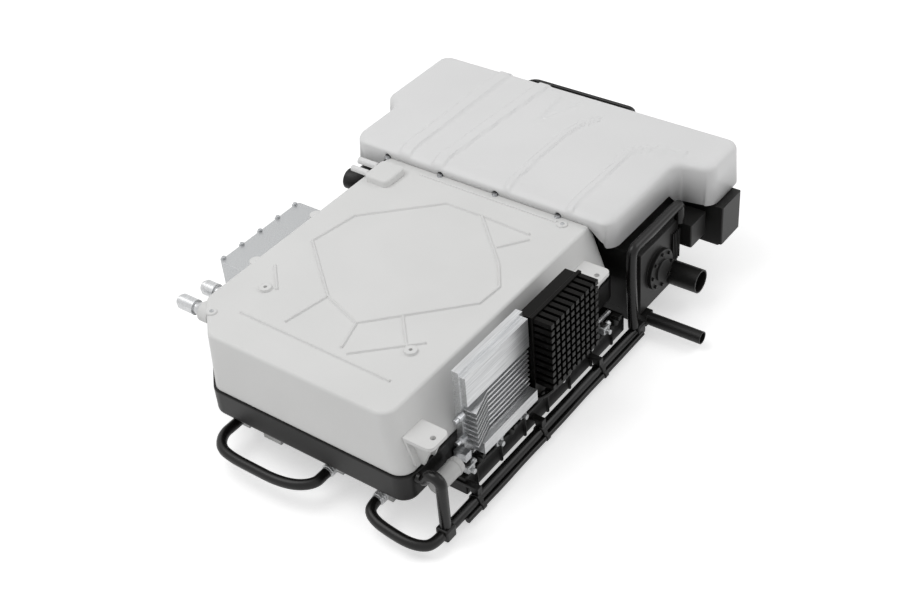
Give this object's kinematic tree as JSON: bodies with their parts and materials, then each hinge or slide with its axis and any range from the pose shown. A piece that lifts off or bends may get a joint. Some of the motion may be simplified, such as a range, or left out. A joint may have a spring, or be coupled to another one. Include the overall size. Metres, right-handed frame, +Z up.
{
  "type": "fuel cell power module",
  "caption": "Low fuel cell power module: ribbed white stack housing on a black tray, moulded rear cover, finned converter, guard tubes, hoses and pipe ports.",
  "frame": {"origin": "on the floor, midway between the four feet's fixing holes", "axes": "+X to the module's right, the side with the converter and the pipe ports; +Y from the stack end to the rear cover; +Z up"},
  "size_m": [1.099, 1.5046, 0.366],
  "materials": {
    "anodised_black": "black anodised",
    "bare_silver": "extruded and machined",
    "black_coat": "satin black coat on a casting",
    "black_plastic": "moulded black, slightly rough",
    "black_rubber": "smooth black hose",
    "black_tube": "satin black coated tube",
    "cast_silver": "as cast, lightly blasted",
    "cells": "pressed graphite plates and seals",
    "copper": "bare bar",
    "cover_white": "fine-textured matt off-white powder coat",
    "gasket": "soft black",
    "hood_white": "moulded satin off-white",
    "light_grey": "smooth light grey",
    "steel": "zinc plated"
  },
  "bodies": {
    "root": {"air_compressor": "black_coat", "air_filter": "black_plastic", "air_port": "black_plastic", "base_frame": "black_coat", "bus_bars": "copper", "cell_block": "cells", "control_box": "black_plastic", "converter_body": "bare_silver", "coolant_pump": "black_coat", "coolant_stub": "black_plastic", "cover_gasket": "gasket", "cover_posts": "steel", "drain_tube": "black_tube", "front_end_plate": "bare_silver", "gas_blower": "cast_silver", "guard_hoop": "black_tube", "heat_exchanger": "cast_silver", "hose_blocks": "light_grey", "hose_fittings": "bare_silver", "humidifier": "black_plastic", "intake_elbow": "black_plastic", "inverter_case": "anodised_black", "inverter_sink": "anodised_black", "junction_bolts": "steel", "junction_box": "cast_silver", "junction_lid": "cast_silver", "left_hose": "black_rubber", "manifold_casting": "cover_white", "manifold_pipes": "hood_white", "mount_feet": "black_coat", "purge_manifold": "bare_silver", "rail_arms": "black_coat", "rail_clamps": "black_coat", "rail_corners": "black_coat", "rear_cover": "hood_white", "rear_edge_bolts": "steel", "rear_end_plate": "bare_silver", "rear_hoop": "black_tube", "rear_tube": "black_tube", "rear_tube_fittings": "steel", "relay_box": "black_plastic", "right_hose": "black_rubber", "service_line": "bare_silver", "side_brackets": "cover_white", "side_connectors": "bare_silver", "side_rail": "black_tube", "stack_cover": "cover_white", "stack_tray": "black_coat", "tie_rod_nuts": "steel", "tie_rods": "steel", "tray_screws": "steel", "water_separator": "light_grey"}
  },
  "joints": []
}
